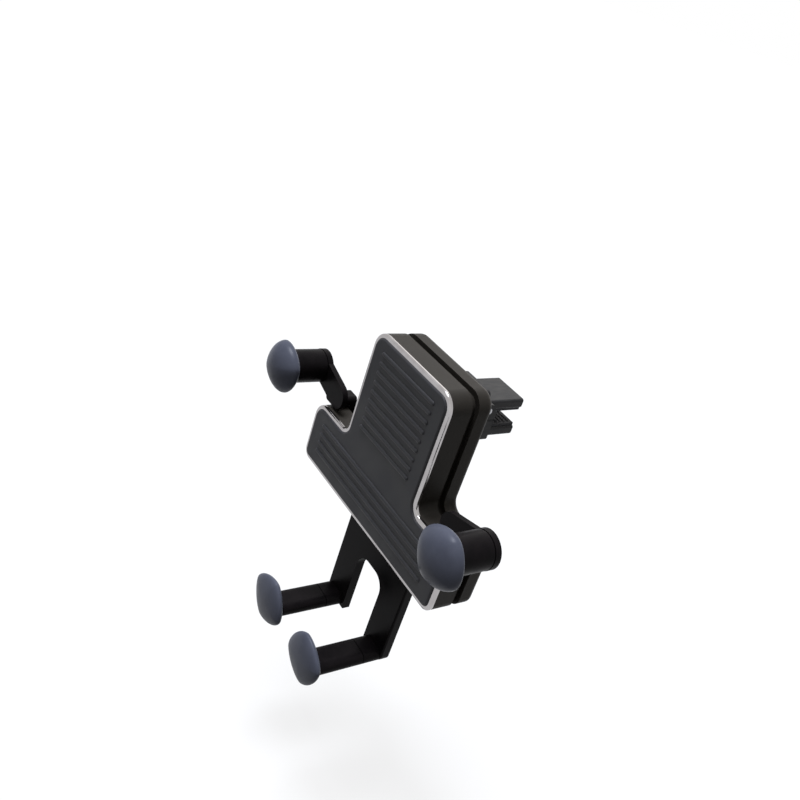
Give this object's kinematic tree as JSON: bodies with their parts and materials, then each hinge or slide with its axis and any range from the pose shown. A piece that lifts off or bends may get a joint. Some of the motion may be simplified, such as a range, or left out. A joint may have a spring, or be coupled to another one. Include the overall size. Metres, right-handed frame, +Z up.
{
  "type": "car vent phone holder",
  "caption": "Gravity holder for a hand-held device on a car vent clip: geared side arms with petal pads, a sliding two-foot shelf, ball joint with lock nut and sprung jaw.",
  "frame": {"origin": "middle of the gap between the clip jaws, where the vent blade sits", "axes": "+X to the user's right, +Y back into the vent along the jaws, +Z up along the cradle; the held device faces -Y"},
  "size_m": [0.1046, 0.0565, 0.1015],
  "materials": {
    "pad_rubber": "soft-touch charcoal, satin",
    "rest_silicone": "matt black silicone",
    "housing_plastic": "fine spark-textured dark grey",
    "bright_trim": "bright plated",
    "arm_plastic": "semi-gloss black",
    "gear_plastic": "natural acetal",
    "clip_plastic": "fine textured black",
    "ball_plastic": "polished black",
    "grip_rubber": "matt grey rubber",
    "steel": "plain steel"
  },
  "bodies": {
    "clip": {"clip_hub": "clip_plastic", "ball_stud": "ball_plastic", "clip_pin": "steel", "lower_grip": "grip_rubber", "clip_spring": "steel"},
    "jaw": {"clip_jaw": "clip_plastic", "upper_grip": "grip_rubber"},
    "inner_liner": {"inner_liner": "gear_plastic"},
    "outer_liner": {"outer_liner": "gear_plastic"},
    "cradle": {"front_housing": "housing_plastic", "rear_housing": "housing_plastic", "trim_ring": "bright_trim", "front_rest": "rest_silicone", "right_low_screw": "steel", "left_low_screw": "steel", "right_top_screw": "steel", "left_top_screw": "steel", "right_pinion_pin": "steel", "left_pinion_pin": "steel", "return_spring": "steel"},
    "lock_nut": {"lock_nut": "clip_plastic"},
    "right_pinion": {"right_pinion": "gear_plastic"},
    "left_pinion": {"left_pinion": "gear_plastic"},
    "right_arm": {"right_arm": "arm_plastic", "right_arm_sleeve": "arm_plastic", "right_arm_pad": "pad_rubber"},
    "left_arm": {"left_arm": "arm_plastic", "left_arm_sleeve": "arm_plastic", "left_arm_pad": "pad_rubber"},
    "foot": {"foot_bracket": "arm_plastic", "right_foot_sleeve": "arm_plastic", "left_foot_sleeve": "arm_plastic", "right_foot_pad": "pad_rubber", "left_foot_pad": "pad_rubber"}
  },
  "joints": [
    {"name": "jaw_open", "type": "hinge", "parent": "clip", "child": "jaw", "pos_m": [0, -0.0073, 0.0039], "axis": [1, 0, 0], "range_deg": [-9, 15], "stiffness_Nm_per_rad": 0.05, "deforming": ["clip_spring"]},
    {"name": "tilt", "type": "hinge", "parent": "clip", "child": "inner_liner", "pos_m": [0, -0.0205, 0], "axis": [1, 0, 0], "range_deg": [-12, 12]},
    {"name": "pan", "type": "hinge", "parent": "inner_liner", "child": "outer_liner", "pos_m": [0, -0.0205, 0], "axis": [0, 0, 1], "range_deg": [-12, 12]},
    {"name": "roll", "type": "hinge", "parent": "outer_liner", "child": "cradle", "pos_m": [0, -0.0205, 0], "axis": [0, 1, 0], "range_deg": [-90, 90]},
    {"name": "nut_turn", "type": "hinge", "parent": "cradle", "child": "lock_nut", "pos_m": [0, -0.0205, 0], "axis": [0, 1, 0], "range_deg": [-40, 40]},
    {"name": "foot_slide", "type": "slide", "parent": "cradle", "child": "foot", "axis": [0, 0, 1], "range_m": [-0.006, 0.008], "deforming": ["return_spring"]},
    {"name": "right_arm_slide", "type": "slide", "parent": "cradle", "child": "right_arm", "axis": [1, 0, 0], "range_m": [-0.006, 0.008]},
    {"name": "left_arm_slide", "type": "slide", "parent": "cradle", "child": "left_arm", "axis": [-1, 0, 0], "range_m": [-0.006, 0.008]},
    {"name": "right_pinion_turn", "type": "hinge", "parent": "cradle", "child": "right_pinion", "pos_m": [0.02, -0.022, -0.0305], "axis": [0, 1, 0], "range_deg": [-66, 88]},
    {"name": "left_pinion_turn", "type": "hinge", "parent": "cradle", "child": "left_pinion", "pos_m": [-0.02, -0.022, -0.0305], "axis": [0, -1, 0], "range_deg": [-66, 88]}
  ],
  "couplings": [
    {"joint": "right_arm_slide", "follows": "foot_slide", "ratio": 1},
    {"joint": "left_arm_slide", "follows": "foot_slide", "ratio": 1},
    {"joint": "right_pinion_turn", "follows": "foot_slide", "rad_per_m": 190.48},
    {"joint": "left_pinion_turn", "follows": "foot_slide", "rad_per_m": 190.48}
  ]
}
